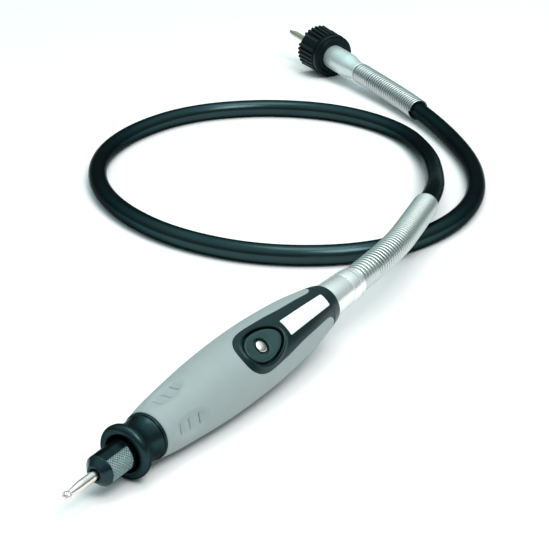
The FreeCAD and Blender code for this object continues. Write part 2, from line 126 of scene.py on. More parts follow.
def surface(name, base, rough, metallic=0.0, tone=0.06, tone_scale=160.0, rough_var=0.05, grain=0.0, grain_scale=6000.0,
            scratch=0.0, coat=0.0, coat_rough=0.1, spec=0.5, lines=0.0, lines_scale=2500.0, axis="hand", sheen=0.0,
            edge=None, ior=1.5, aniso=0.0, stint=None):
    """plastic, rubber or metal with slow tone changes, uneven gloss, and a fine grain or turning lines"""
    m, nt, p = new_material(name)
    L = nt.links
    tc = node(nt, "ShaderNodeTexCoord")
    co = tc.outputs["Object"]
    n1 = node(nt, "ShaderNodeTexNoise", i_Scale=tone_scale, i_Detail=4.0, i_Roughness=0.55)
    L.new(co, n1.inputs["Vector"])
    ramp = node(nt, "ShaderNodeValToRGB")
    ramp.color_ramp.elements[0].position, ramp.color_ramp.elements[1].position = 0.3, 0.7
    ramp.color_ramp.elements[0].color = (*[c * (1 - tone) for c in base], 1)
    ramp.color_ramp.elements[1].color = (*[min(1, c * (1 + tone)) for c in base], 1)
    L.new(n1.outputs["Fac"], ramp.inputs["Fac"])
    colour = ramp.outputs["Color"]
    if edge:
        # wear: convex edges are a little lighter
        geo = node(nt, "ShaderNodeNewGeometry")
        er = node(nt, "ShaderNodeMapRange")
        er.inputs["From Min"].default_value, er.inputs["From Max"].default_value = 0.52, 0.62
        L.new(geo.outputs["Pointiness"], er.inputs["Value"])
        mul = node(nt, "ShaderNodeMath", operation="MULTIPLY")
        n4 = node(nt, "ShaderNodeTexNoise", i_Scale=1200.0, i_Detail=3.0)
        L.new(co, n4.inputs["Vector"])
        L.new(er.outputs["Result"], mul.inputs[0])
        L.new(n4.outputs["Fac"], mul.inputs[1])
        mx = node(nt, "ShaderNodeMix", data_type="RGBA")
        L.new(mul.outputs[0], mx.inputs["Factor"])
        L.new(colour, mx.inputs["A"])
        mx.inputs["B"].default_value = (*edge, 1)
        colour = mx.outputs["Result"]
    L.new(colour, p.inputs["Base Color"])
    n2 = node(nt, "ShaderNodeTexNoise", i_Scale=tone_scale * 2.3, i_Detail=3.0)
    L.new(co, n2.inputs["Vector"])
    mr = node(nt, "ShaderNodeMapRange")
    mr.inputs["To Min"].default_value = max(0.02, rough - rough_var)
    mr.inputs["To Max"].default_value = rough + rough_var
    L.new(n2.outputs["Fac"], mr.inputs["Value"])
    L.new(mr.outputs["Result"], p.inputs["Roughness"])
    p.inputs["Metallic"].default_value = metallic
    p.inputs["Specular IOR Level"].default_value = spec
    p.inputs["IOR"].default_value = ior
    if stint:
        p.inputs["Specular Tint"].default_value = (*stint, 1)
    p.inputs["Coat Weight"].default_value = coat
    p.inputs["Coat Roughness"].default_value = coat_rough
    p.inputs["Anisotropic"].default_value = aniso
    if sheen:
        p.inputs["Sheen Weight"].default_value = sheen
        p.inputs["Sheen Roughness"].default_value = 0.5
    last = None
    if grain:
        n3 = node(nt, "ShaderNodeTexNoise", i_Scale=grain_scale, i_Detail=2.0)
        L.new(co, n3.inputs["Vector"])
        b = node(nt, "ShaderNodeBump")
        b.inputs["Strength"].default_value = grain
        b.inputs["Distance"].default_value = 0.00004
        L.new(n3.outputs["Fac"], b.inputs["Height"])
        last = b
    if lines:
        mp = node(nt, "ShaderNodeMapping")
        if axis == "hand":
            mp.inputs["Rotation"].default_value = (-TILT, 0, 0)
            mp.inputs["Scale"].default_value = (0.02, 1.0, 0.02)
        else:
            ang = math.atan2(FAR_D[1], FAR_D[0])
            mp.vector_type = "POINT"
            mp.inputs["Rotation"].default_value = (0, 0, -ang)
            mp.inputs["Scale"].default_value = (1.0, 0.02, 0.02)
        L.new(co, mp.inputs["Vector"])
        n5 = node(nt, "ShaderNodeTexNoise", i_Scale=lines_scale, i_Detail=3.0)
        L.new(mp.outputs["Vector"], n5.inputs["Vector"])
        b = node(nt, "ShaderNodeBump")
        b.inputs["Strength"].default_value = lines
        b.inputs["Distance"].default_value = 0.00003
        L.new(n5.outputs["Fac"], b.inputs["Height"])
        if last:
            L.new(last.outputs["Normal"], b.inputs["Normal"])
        last = b
    if last:
        L.new(last.outputs["Normal"], p.inputs["Normal"])
    return m


COOL = (0.62, 0.97, 1.0)
EDGE = (0.16, 0.22, 0.22)
surface("soft_grey", (0.298, 0.346, 0.343), 0.55, tone=0.030, tone_scale=90, rough_var=0.06, grain=0.25, grain_scale=9000, sheen=0.05, spec=0.35)
# painted shade: darker colour for the bottoms of the grip's cross steps, standing in for the shade in them
surface("grip_step_painted_shade", (0.150, 0.182, 0.183), 0.60, tone=0.08, tone_scale=400, rough_var=0.05, grain=0.2, grain_scale=9000, spec=0.25)
surface("panel_black", (0.0022, 0.0108, 0.0125), 0.33, tone=0.12, tone_scale=220, rough_var=0.05, grain=0.22, grain_scale=7000, spec=0.28, stint=COOL)
surface("button_black", (0.0140, 0.0330, 0.0350), 0.38, tone=0.12, tone_scale=260, rough_var=0.05, grain=0.15, grain_scale=7000, spec=0.50, stint=COOL)
surface("nose_black", (0.021, 0.041, 0.046), 0.27, metallic=0.85, tone=0.12, tone_scale=300, rough_var=0.05, grain=0.06, grain_scale=5000, spec=0.2, stint=EDGE)
surface("white_plate", (0.80, 0.81, 0.80), 0.30, tone=0.010, tone_scale=200, rough_var=0.04, grain=0.05)
surface("bright_nickel", (0.97, 0.945, 0.925), 0.26, metallic=0.74, tone=0.02, tone_scale=200, rough_var=0.04, lines=0.20, axis="hand", stint=(0.52, 0.64, 0.62))
surface("guard_near", (0.62, 0.64, 0.62), 0.36, metallic=1.0, tone=0.05, tone_scale=900, rough_var=0.06, grain=0.05, stint=(0.62, 0.76, 0.74))
surface("guard_far", (0.56, 0.58, 0.57), 0.36, metallic=1.0, tone=0.05, tone_scale=900, rough_var=0.06, grain=0.05, stint=(0.62, 0.76, 0.74))
surface("pale_zinc", (0.68, 0.77, 0.75), 0.34, metallic=0.55, tone=0.04, tone_scale=260, rough_var=0.05, grain=0.10, grain_scale=4000, lines=0.10, axis="far")
surface("sheath_rubber", (0.028, 0.051, 0.055), 0.24, metallic=0.92, tone=0.10, tone_scale=60, rough_var=0.04, grain=0.06, grain_scale=5000, spec=0.2, stint=EDGE)
surface("nut_plastic", (0.0005, 0.0035, 0.0042), 0.34, tone=0.12, tone_scale=300, rough_var=0.06, grain=0.12, grain_scale=6000, edge=(0.010, 0.018, 0.020), spec=0.16, stint=COOL)
surface("black_steel", (0.012, 0.024, 0.028), 0.28, metallic=0.9, tone=0.15, tone_scale=700, rough_var=0.08, grain=0.10, edge=(0.10, 0.13, 0.135), spec=0.2, stint=EDGE)
surface("nut_cone", (0.020, 0.042, 0.050), 0.22, metallic=0.85, tone=0.12, tone_scale=700, rough_var=0.05, grain=0.05)
surface("worn_knurl", (0.200, 0.280, 0.285), 0.38, metallic=0.6, tone=0.15, tone_scale=900, rough_var=0.08, grain=0.10, edge=(0.30, 0.34, 0.34))
surface("bright_steel", (0.86, 0.76, 0.73), 0.20, metallic=1.0, tone=0.03, tone_scale=500, rough_var=0.04, lines=0.15)
surface("tip_steel", (0.44, 0.43, 0.32), 0.32, metallic=0.9, tone=0.06, tone_scale=400, rough_var=0.06, lines=0.2, axis="far")
surface("spindle_steel", (0.55, 0.57, 0.57), 0.26, metallic=1.0, tone=0.05, tone_scale=400, lines=0.3)
surface("bearing_steel", (0.66, 0.67, 0.68), 0.18, metallic=1.0, tone=0.04, tone_scale=400, lines=0.1)
surface("bronze", (0.62, 0.40, 0.19), 0.38, metallic=1.0, tone=0.10, tone_scale=900, grain=0.3, grain_scale=4000)
# painted shade: dark colour for the guard wire's flanks, standing in for the shade in the gaps between the turns
surface("wire_flank_painted_shade", (0.050, 0.075, 0.078), 0.45, metallic=0.8, tone=0.10, tone_scale=900, rough_var=0.05, grain=0.05)
surface("liner_wire", (0.42, 0.43, 0.43), 0.38, metallic=1.0, tone=0.08, tone_scale=900)
surface("core_wire", (0.40, 0.40, 0.39), 0.34, metallic=1.0, tone=0.10, tone_scale=900)

# ---------------------------------------------------------------- mesh making


def make(name, verts_mm, faces, mat, body, replaces=(), sharp=32.0, flip=False):
    me = bpy.data.meshes.new(name)
    v = np.asarray(verts_mm, float) * MM
    if flip:
        faces = [tuple(reversed(f)) for f in faces]
    me.from_pydata(v.tolist(), [], [tuple(int(i) for i in f) for f in faces])
    me.validate()
    me.update()
    me.polygons.foreach_set("use_smooth", [True] * len(me.polygons))
    if sharp:
        me.set_sharp_from_angle(angle=math.radians(sharp))
    me.materials.append(M[mat])
    o = bpy.data.objects.new(name, me)
    bpy.context.scene.collection.objects.link(o)
    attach(o, body)
    if replaces:
        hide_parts(*replaces)
    return o


class Build:
    """collects vertices and faces"""

    def __init__(self):
        self.v, self.f = [], []

    def add(self, pts):
        k = len(self.v)
        self.v.extend(np.asarray(pts, float).reshape(-1, 3).tolist())
        return np.arange(k, len(self.v))

    def strip(self, a, b, wrap=False):
        """quads between two rows of vertex numbers"""
        n = len(a)
        for i in range(n if wrap else n - 1):
            j = (i + 1) % n
            q = []
            for x in (a[i], a[j], b[j], b[i]):
                if not q or x != q[-1]:
                    q.append(int(x))
            if len(q) > 2 and q[0] == q[-1]:
                q.pop()
            if len(set(q)) == len(q) and len(q) >= 3:
                self.f.append(tuple(q))

    def fan(self, ring, point):
        n = len(ring)
        for i in range(n):
            self.f.append((int(ring[i]), int(ring[(i + 1) % n]), int(point)))


def soften(pts, n=4):
    """points (s, r) or (s, r, fillet) to a profile with its corners rounded"""
    out = []
    m = len(pts)
    for i, p in enumerate(pts):
        if len(p) == 2 or i in (0, m - 1):
            out.append((p[0], p[1]))
            continue
        a, c = np.array(pts[i - 1][:2]), np.array(pts[i + 1][:2])
        b = np.array(p[:2])
        la, lc = np.linalg.norm(a - b), np.linalg.norm(c - b)
        f = min(p[2], la * 0.49, lc * 0.49)
        p0, p2 = b + (a - b) / la * f, b + (c - b) / lc * f
        for k in range(n + 1):
            t = k / n
            q = (1 - t) ** 2 * p0 + 2 * t * (1 - t) * b + t * t * p2
            out.append((float(q[0]), float(q[1])))
    return out


def lathe(name, profile, mat, body, where=hand_polar, n=96, replaces=(), disp=None, closed=False, sharp=32.0,
          extra=None, flip=False, phase=0.0, angles=None):
    """turns a profile; disp(s, r, a) gives a change of radius"""
    B = Build()
    a = np.asarray(angles, float) if angles is not None else phase + np.arange(n) * 2 * PI / n
    rows = []
    for s, r in profile:
        if r < 1e-6:
            rows.append(np.repeat(B.add(where(s, 0.0, 0.0)), len(a)))
        else:
            rr = np.full(len(a), float(r))
            if disp is not None:
                rr = rr + disp(s, r, a)
            rows.append(B.add(where(np.full(len(a), float(s)), rr, a)))
    for i in range(len(rows) - 1):
        B.strip(rows[i], rows[i + 1], wrap=True)
    if closed:
        B.strip(rows[-1], rows[0], wrap=True)
    if extra:
        extra(B)
    return make(name, B.v, B.f, mat, body, replaces, sharp=sharp, flip=flip)


# ---------------------------------------------------------------- camera, first
cam = bpy.data.cameras.new("camera")
cam.sensor_fit = "HORIZONTAL"
cam.sensor_width = 36.0
cam.lens = 1673.0 / 549.0 * 36.0
cam.clip_start, cam.clip_end = 0.01, 20.0
cam_o = bpy.data.objects.new("camera", cam)
cam_o.location = (0.27765, -0.39885, 0.25127)
cam_o.rotation_euler = (math.radians(67.5), 0, math.radians(32.98))
bpy.context.scene.collection.objects.link(cam_o)
bpy.context.scene.camera = cam_o

# ---------------------------------------------------------------- the sheath's line, first of the pieces
ROUTE_MID = [(-11.0, 202.9, 17.2), (-22.1, 239.5, 15.2), (-40.4, 274.8, 9.0), (-61.4, 308.4, 4.9),
             (-90.6, 335.8, 4.15), (-129.9, 345.3, 4.15), (-166.8, 332.3, 4.15), (-192.8, 303.3, 4.15),
             (-198.6, 265.0, 4.15), (-189.3, 227.1, 4.15), (-166.4, 195.1, 4.15), (-134.4, 172.2, 4.15),
             (-96.5, 160.5, 4.15), (-56.6, 164.8, 4.15), (-23.1, 189.5, 4.15), (-11.2, 227.4, 4.15),
             (-15.7, 265.7, 4.15), (-33.3, 301.0, 4.15), (-57.8, 330.6, 4.35), (-91.4, 360.4, 5.75)]
route = [hand(0, 125.0, 0), hand(0, 161.5, 0)] + [np.array([x, y + Y_SHIFT, z]) for x, y, z in ROUTE_MID]
route += [FAR_B - 46.5 * FAR_D, FAR_B - 13.0 * FAR_D]


def nurbs(name, pts, bevel=0.0):
    cu = bpy.data.curves.new(name, "CURVE")
    cu.dimensions = "3D"
    sp = cu.splines.new("NURBS")
    sp.points.add(len(pts) - 1)
    for q, p in zip(sp.points, pts):
        q.co = (p[0] * MM, p[1] * MM, p[2] * MM, 1.0)
    sp.order_u = 3
    sp.use_endpoint_u = True
    cu.resolution_u = 24
    cu.twist_mode = "MINIMUM"
    cu.bevel_depth = bevel
    cu.bevel_resolution = 12
    cu.use_fill_caps = True
    o = bpy.data.objects.new(name, cu)
    bpy.context.scene.collection.objects.link(o)
    return o


sheath = nurbs("outer_sheath_cord", route, 0.0041)
sheath.data.materials.append(M["sheath_rubber"])

# points along the line, read from the same spline with no bevel
probe = nurbs("probe", route)
dg = bpy.context.evaluated_depsgraph_get()
pm = bpy.data.meshes.new_from_object(probe.evaluated_get(dg))
LINE = np.empty(len(pm.vertices) * 3)
pm.vertices.foreach_get("co", LINE)
LINE = LINE.reshape(-1, 3) / MM
bpy.data.meshes.remove(pm)
cu = probe.data
bpy.data.objects.remove(probe)
bpy.data.curves.remove(cu)
keep = np.concatenate([[True], np.linalg.norm(np.diff(LINE, axis=0), axis=1) > 1e-4])
LINE = LINE[keep]
ARC = np.concatenate([[0], np.cumsum(np.linalg.norm(np.diff(LINE, axis=0), axis=1))])
LENGTH = float(ARC[-1])
TAN = np.gradient(LINE, ARC, axis=0)
TAN /= np.linalg.norm(TAN, axis=1)[:, None]
E1 = np.zeros_like(LINE)
e = np.cross([0, 0, 1.0], TAN[0])
E1[0] = e / np.linalg.norm(e)
for i in range(1, len(LINE)):
    e = E1[i - 1] - TAN[i] * (E1[i - 1] @ TAN[i])
    E1[i] = e / np.linalg.norm(e)
E2 = np.cross(TAN, E1)


def along(l):
    l = np.asarray(l, float)
    return tuple(np.stack([np.interp(l, ARC, A[:, k]) for k in range(3)], -1) for A in (LINE, TAN, E1, E2))


def wound(name, l0, l1, r_in, r_out, pitch, mat, body, gap=0.12, tight=None, replaces=(), sides=12, per_turn=40, phase=0.0):
    """a close-wound wire guard: one wire, oval in section, wound round the line"""
    turns = (l1 - l0 - pitch) / pitch
    n = int(turns * per_turn) + 1
    th = np.linspace(0, 2 * PI * turns, n)
    centre = l0 + pitch / 2 + th / (2 * PI) * pitch
    rm, hr, hz = (r_in + r_out) / 2, (r_out - r_in) / 2, (pitch - gap) / 2
    B = Build()
    k = np.arange(sides) * 2 * PI / sides
    rows = []
    for i in range(n):
        q = 1.0 if tight is None else tight(centre[i])
        # section: a rounded strip, flatter where the turns are pressed together
        cz, cr = np.cos(k), np.sin(k)
        ex = 1.0 - 0.55 * (1 - q)
        z = (hz + (gap / 2 - 0.03) * np.clip((0.25 - q) / 0.23, 0, 1)) * np.sign(cz) * np.abs(cz) ** ex
        r = hr * np.sign(cr) * np.abs(cr) ** ex
        l = np.clip(centre[i] + z, 0.0, LENGTH)
        P, T, A, C = along(l)
        a = th[i] + phase
        rows.append(B.add(P + (rm + r)[:, None] * (math.cos(a) * A + math.sin(a) * C)))
    for i in range(n - 1):
        B.strip(rows[i], rows[i + 1], wrap=True)
    for ring, rev in ((rows[0], True), (rows[-1], False)):
        c = B.add(np.array(B.v)[ring].mean(0))
        B.fan(ring[::-1] if not rev else ring, c[0])
    ob = make(name, B.v, B.f, mat, body, replaces, sharp=60)
    # painted shade: the flanks and the inside of the wire are dull and get a dark colour that stands in for the shade
    # in the gaps between the turns, while the outside keeps the guard's bright metal; where the turns are pressed
    # together the flanks do not show
    ob.data.materials.append(M["wire_flank_painted_shade"])
    flank_shade_index = np.zeros(len(ob.data.polygons), dtype=np.int32)
    j = np.arange((n - 1) * sides) % sides
    loose = np.repeat([tight is None or tight(x) > 0.05 for x in centre[:-1]], sides)
    flank_shade_index[:len(j)] = ~np.isin(j, (1, 2, 3, 4)) & loose
    ob.data.polygons.foreach_set("material_index", flank_shade_index)
    return ob


def pipe(name, l0, l1, r, mat, body, replaces=(), n=24, step=2.0, ripple=None):
    """a round rod or lining that follows the line"""
    ls = np.linspace(l0, l1, max(2, int((l1 - l0) / step)))
    P, T, A, C = along(ls)
    a = np.arange(n) * 2 * PI / n
    B = Build()
    rows = []
    for i in range(len(ls)):
        rr = r if ripple is None else r + ripple(ls[i], a)
        rr = np.broadcast_to(rr, a.shape)
        rows.append(B.add(P[i] + (rr * np.cos(a))[:, None] * A[i] + (rr * np.sin(a))[:, None] * C[i]))
    for i in range(len(rows) - 1):
        B.strip(rows[i], rows[i + 1], wrap=True)
    c0, c1 = B.add(P[0]), B.add(P[-1])
    B.fan(rows[0][::-1], c0[0])
    B.fan(rows[-1], c1[0])
    return make(name, B.v, B.f, mat, body, replaces, sharp=40)


NEAR0, NEAR1 = 4.0, 98.0
FAR0, FAR1 = LENGTH - 77.0, LENGTH - 13.6
near_guard = wound("handle_guard_wire", NEAR0, NEAR1, 4.14, 5.35, 1.90, "guard_near", "handpiece", gap=0.24,
                   tight=lambda l: float(np.clip((l - 22.0) / 5.0, 0.02, 0.30)), replaces=("handle_spring_guard",))
far_guard = wound("drive_guard_wire", FAR0, FAR1, 4.14, 5.35, 2.00, "guard_far", "handpiece", gap=0.26,
                  tight=lambda l: float(np.clip((LENGTH - 26.0 - l) / 6.0, 0.02, 0.30)), replaces=("drive_spring_guard",))
liner = pipe("casing_lining", 0.02, LENGTH - 0.02, 3.2, "liner_wire", "handpiece", replaces=("casing_liner",), n=20, step=3.0)
core = pipe("drive_core", 0.12, LENGTH - 0.12, 1.6, "core_wire", "handpiece", replaces=("flexible_core",), n=16, step=3.0)

# ---------------------------------------------------------------- far end
ribs_n = 32
BAND = math.radians(-58.0)


def nut_ribs(s, r, a):
    """coarse straight ribs in four groups, with a plain sunk band between the groups"""
    if s < 3.85 or r < 11.3:
        return np.zeros_like(a)
    ends = min(1.0, (s - 3.85) / 0.35)
    ph = (a - BAND) % (PI / 2)
    ph = np.minimum(ph, PI / 2 - ph)
    x = ((a - BAND) * ribs_n / (2 * PI)) % 1.0
    x = np.minimum(x, 1 - x) * 2                                      # 0 in the root, 1 on the crest
    groove = np.clip(1 - x / 0.62, 0, 1) ** 0.8
    crown = 0.10 * (1 - x) ** 2
    band = np.clip((math.radians(12.2) - ph) / math.radians(2.2), 0, 1)
    return -ends * np.maximum(0.90 * groove + crown, 1.0 * band)


nut_prof = soften([(4.2, 6.52), (0.0, 6.52, 0.15), (0.0, 8.3, 0.2), (0.22, 8.6, 0.1), (0.22, 9.9, 0.1), (0.0, 10.3, 0.15),
                   (0.35, 10.75, 0.1), (0.6, 11.48, 0.12), (2.6, 11.48, 0.15), (2.9, 11.0, 0.1), (3.5, 11.0, 0.1), (3.78, 11.72, 0.1)], 3)
nut_prof += [(t, 11.75 + (t - 3.8) / 13.5 * 0.55) for t in (3.84, 3.9, 4.05, 4.2, 4.5, 6.0, 8.0, 10.0, 12.0, 14.0, 16.0, 17.0, 17.3)]
nut_prof += soften([(17.35, 12.3), (17.55, 12.15, 0.1), (18.0, 11.6, 0.2), (18.0, 9.4, 0.2), (17.4, 9.0, 0.2), (4.2, 9.0, 0.2), (4.2, 6.52)], 3)[1:-1]
lathe("ribbed_coupling_nut", nut_prof, "nut_plastic", "coupling_nut", far_polar, n=ribs_n * 18, replaces=("coupling_nut",),
      disp=nut_ribs, closed=True, sharp=38)

fer = soften([(-26.45, 4.13), (-26.45, 4.80, 0.15), (-26.2, 4.92, 0.2), (-22.4, 4.98, 1.2), (-15.0, 6.40, 1.4), (-6.0, 6.42), (4.4, 6.40, 0.1),
              (4.4, 6.0, 0.1), (12.0, 6.0, 0.3), (12.4, 5.6, 0.2), (12.4, 3.0, 0.1), (-4.0, 3.0, 0.1), (-4.0, 2.2, 0.1),
              (-12.9, 2.2, 0.1), (-12.9, 4.13, 0.1), (-26.45, 4.13)], 4)[:-1]
drive_ferrule = lathe("drive_end_ferrule", fer, "pale_zinc", "handpiece", far_polar, n=96, replaces=("drive_ferrule",), closed=True)


def tip_flat(s, r, a):
    if s < 40.3:
        return np.zeros_like(a)
    h = 1.5875 - 0.16 * (s - 40.3)
    lim = np.minimum(r, np.abs(h / np.maximum(1e-6, np.abs(np.cos(a - 0.35)))))
    return lim - r


tipp = soften([(-12.65, 0.0), (-12.65, 1.90, 0.1), (12.6, 1.90, 0.1), (12.9, 1.5875, 0.1), (38.0, 1.5875), (40.2, 1.5875)], 3)
tipp += [(40.2 + k * 0.3, 1.5875) for k in range(1, 12)] + [(44.0, 1.52), (44.8, 1.30), (45.5, 1.02), (46.0, 0.70), (46.3, 0.30), (46.3, 0.0)]
drive_tip = lathe("drive_tip_blade", tipp, "tip_steel", "drive_tip", far_polar, n=48, replaces=("drive_tip",), disp=tip_flat, sharp=30)

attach(sheath, "handpiece")
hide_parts("outer_sheath")

# ---------------------------------------------------------------- grip sleeve
PANEL = [(53.0, 0.0), (53.9, 3.9), (57.2, 6.85), (60.3, 7.95), (63.7, 8.30), (70, 8.05), (76.5, 7.6), (84, 6.85),
         (92, 6.35), (100, 5.85), (104.5, 5.75), (107.0, 6.4), (108.6, 7.8), (109.2, 10.2)]
pp = np.array([(u, -v) for u, v in reversed(PANEL[1:])] + PANEL)
chord = np.concatenate([[0], np.cumsum(np.linalg.norm(np.diff(pp, axis=0), axis=1))])
fu, fv = spline(chord, pp[:, 0]), spline(chord, pp[:, 1])
mid = chord[len(PANEL) - 1]


def outline(offset, n):
    """points of the half outline from its front to its rear, moved outwards"""
    c = np.linspace(0, 1, n)
    c = mid + (chord[-1] - mid) * c
    u, v = fu(c), fv(c)
    du, dv = fu(c + 0.01) - fu(c - 0.01), fv(c + 0.01) - fv(c - 0.01)
    L = np.hypot(du, dv)
    # outwards is to the side of +v and the front
    return u - offset * dv / L, v + offset * du / L


F = 0.24           # rounding of the opening's edge
COLS = 240


def recess(s, a):
    """two shallow finger hollows near the nose, each with three cross steps"""
    d = np.zeros_like(a)
    r = float(RB(s))
    for c in (-math.radians(43), math.radians(41)):
        w = (a - c + PI) % (2 * PI) - PI
        x, y = (s - 23.2) / 8.6, w * r / 4.3
        q = x * x + y * y
        hollow = np.clip(1 - q, 0, 1)
        hollow = hollow * hollow * (3 - 2 * hollow)
        d -= 0.98 * hollow
        for sc in (18.3, 22.6, 27.0):
            half = 2.35 if sc != 22.6 else 2.6
            yy = np.abs(w * r) / half
            ends = np.clip((1 - yy) / 0.35, 0, 1)
            ends = ends * ends * (3 - 2 * ends)
            t = s - sc
            if t < 0:
                f = max(0.0, 1 + t / 0.24)
                f = f * f * (3 - 2 * f)
            else:
                f = 0.70 * max(0.0, 1 - t / 0.50) + 0.30 * max(0.0, 1 - t / 2.2)
            d -= 1.15 * f * ends
    return d


B = Build()
ou, ov = outline(F, 150)
ok = ou < 108.55
ou, ov = ou[ok], ov[ok]
rows_s = [(s, None) for s in np.concatenate([np.arange(12.75, 15.0, 0.4), np.arange(15.0, 32.0, 0.13), np.arange(32.0, ou[0] - 0.3, 0.8)])]
rows = []
for s, r in ((12.22, 6.95), (12.22, 7.70), (12.25, 7.84), (12.33, 7.96), (12.48, 8.07)):
    rows.append(("full", s, r, 0.0))
for s, _ in rows_s:
    rows.append(("full", s, None, 0.0))
rows.append(("full", float(ou[0]) - 0.02, None, 0.0))
for u, v in zip(ou, ov):
    r = float(RB(u))
    rows.append(("cut", float(u), None, math.asin(min(1.0, max(0.0, v) / r))))
ids = []
for kind, s, r, a0 in rows:
    a = a0 + (2 * PI - 2 * a0) * np.arange(COLS + 1) / COLS
    if r is None:
        rr = RB(s) + (recess(s, a) if 13 < s < 33 else 0)
        rr = np.broadcast_to(rr, a.shape)
    else:
        rr = np.full(COLS + 1, r)
    if kind == "full" or a0 < 1e-9:
        v = B.add(hand_polar(np.full(COLS, s), rr[:-1], a[:-1]))
        v = np.append(v, v[0])
    else:
        v = B.add(hand_polar(np.full(COLS + 1, s), rr, a))
    ids.append(v)
for i in range(len(ids) - 1):
    B.strip(ids[i], ids[i + 1])
# rear part: the half ring behind the strips' tips
last_a = rows[-1][3]
prev = ids[-1]
for s, dr in ((108.75, 0.0), (108.88, -0.03), (108.97, -0.12), (109.0, -0.28), (109.0, -1.1)):
    a0 = min(PI / 2 * 1.0, last_a + (s - rows[-1][1]) * 0.9)
    a = a0 + (2 * PI - 2 * a0) * np.arange(COLS + 1) / COLS
    v = B.add(hand_polar(np.full(COLS + 1, s), np.full(COLS + 1, float(RB(min(s, 109.0))) + dr), a))
    B.strip(prev, v)
    prev = v
# rolled edge and wall of the opening
cut = [(i, rows[i]) for i in range(len(rows)) if rows[i][0] == "cut"]
for side in (0, -1):
    prev = np.array([ids[i][side] for i, _ in cut])
    base = np.array([[ru[1], math.sin(ru[3]) * float(RB(ru[1])) * (1 if side == 0 else -1)] for _, ru in cut])
    tan = np.gradient(base, axis=0)
    tan /= np.maximum(1e-9, np.linalg.norm(tan, axis=1))[:, None]
    nrm = np.stack([tan[:, 1], -tan[:, 0]], 1) * (1 if side == 0 else -1)    # towards the inside of the opening
    nrm[0] = (1, 0)
    for x, y in [(F * math.sin(t), F * (1 - math.cos(t))) for t in np.linspace(0, PI / 2, 6)[1:]] + [(F, 0.8), (F, 1.3)]:
        uv = base + nrm * x
        rr = RB(np.minimum(uv[:, 0], 109.0))
        w = np.sqrt(np.maximum(0.01, rr ** 2 - uv[:, 1] ** 2))
        # down along the surface's own normal
        sc = (rr - y) / rr
        v = B.add(hand_panel(uv[:, 0], uv[:, 1] * sc, w * sc))
        if side == 0:
            B.strip(v, prev)
        else:
            B.strip(prev, v)
        prev = v
grip = make("soft_grip", B.v, B.f, "soft_grey", "handpiece", ("grip_sleeve",), sharp=40, flip=True)
# painted shade: the bottoms of the cross steps get a darker colour that stands in for the shade in them
grip.data.materials.append(M["grip_step_painted_shade"])
gc = np.empty(len(grip.data.polygons) * 3)
grip.data.polygons.foreach_get("center", gc)
gc = gc.reshape(-1, 3) / MM - np.array([0.0, Y_SHIFT, Z0])
gs, gu = gc[:, 1] * CT + gc[:, 2] * ST, -gc[:, 1] * ST + gc[:, 2] * CT
ga, gr = np.arctan2(gc[:, 0], gu) - ROLL, np.hypot(gc[:, 0], gu)
step_shade_index = np.zeros(len(gs), dtype=np.int32)
for c in (-math.radians(43), math.radians(41)):
    gw = np.abs((ga - c + PI) % (2 * PI) - PI) * gr
    for sc in (18.3, 22.6, 27.0):
        step_shade_index[(gs > sc - 0.20) & (gs < sc + 0.34) & (gw < 1.75)] = 1
grip.data.polygons.foreach_set("material_index", step_shade_index)

# ---------------------------------------------------------------- housing: panel, button pocket and rear collar
BTN_A, BTN_B, BTN_S, BTN_GAP, LOCK_S = 9.00, 5.20, 66.2, 0.90, 65.3


def egg(a, b, t):
    """outline of the button's shape: t = 0 at the rear"""
    return a * np.cos(t), b * np.sin(t) * (1 - 0.10 * np.cos(t))


def egg_at(a, b, ang):
    """point of the egg in the direction ang from its middle"""
    t = np.linspace(-PI, PI, 4001)
    u, v = egg(a, b, t)
    th = np.unwrap(np.arctan2(v, u))
    th = th - th[2000]
    tt = np.interp(ang, th, t)
    return egg(a, b, tt)


def top_w(u, v, off=0.0):
    r = RB(np.clip(u, 12.2, 109.0)) - off
    return np.sqrt(np.maximum(0.01, r ** 2 - v ** 2))


B = Build()
GAP = 0.07
pu, pv = outline(-(GAP + F), 170)
sc_cut = 80.0
front = pu < sc_cut
vf = float(np.interp(sc_cut, pu, pv))
fu_, fv_ = pu[front], np.maximum(pv[front], 0.0)
K = 36
loop = [(sc_cut, -vf)] + [(u, -v) for u, v in zip(fu_[::-1], fv_[::-1])] + [(u, v) for u, v in zip(fu_[1:], fv_[1:])] + [(sc_cut, vf)]
n_out = len(loop)
line = [(sc_cut, vf - 2 * vf * k / K) for k in range(1, K)]
loop = np.array(loop + line)
ang = np.arctan2(loop[:, 1], loop[:, 0] - BTN_S)
order_dir = np.unwrap(ang)
eu, ev = egg_at(BTN_A + BTN_GAP, BTN_B + BTN_GAP, (ang + PI) % (2 * PI) - PI)
inner = np.stack([eu + BTN_S, ev], 1)
dvec = loop - inner
dist = np.linalg.norm(dvec, axis=1)
dirv = dvec / dist[:, None]
fp = 0.42
steps = [(fp * (1 - math.cos(t)), fp * (1 - math.sin(t))) for t in np.linspace(0, PI / 2, 7)]
loops = []


def ring_at(d, drop):
    q = inner + dirv * d[:, None]
    bump = 0.26 * np.exp(-((d - 0.90) / 0.42) ** 2)
    w = top_w(q[:, 0], q[:, 1]) + bump - drop
    return B.add(hand_panel(q[:, 0], q[:, 1], w))


wall = []
for depth in (3.0, 1.2):
    w = top_w(inner[:, 0], inner[:, 1]) - fp
    ww = np.maximum(w - depth, 7.0) if depth < 3.0 else np.full(len(w), 7.0)
    wall.append(B.add(hand_panel(inner[:, 0], inner[:, 1], ww)))
loops = list(wall)
for d, drop in steps:
    loops.append(ring_at(np.full(len(dist), d), drop))
for d in (0.6, 0.8, 1.0, 1.2, 1.4):
    loops.append(ring_at(np.minimum(d, dist * (0.2 + 0.4 * d)), 0.0))
start = np.minimum(1.4, dist * 0.76)
for k in np.linspace(0, 1, 9)[1:]:
    loops.append(ring_at(start + (dist - start) * k, 0.0))
for i in range(len(loops) - 1):
    B.strip(loops[i], loops[i + 1], wrap=True)
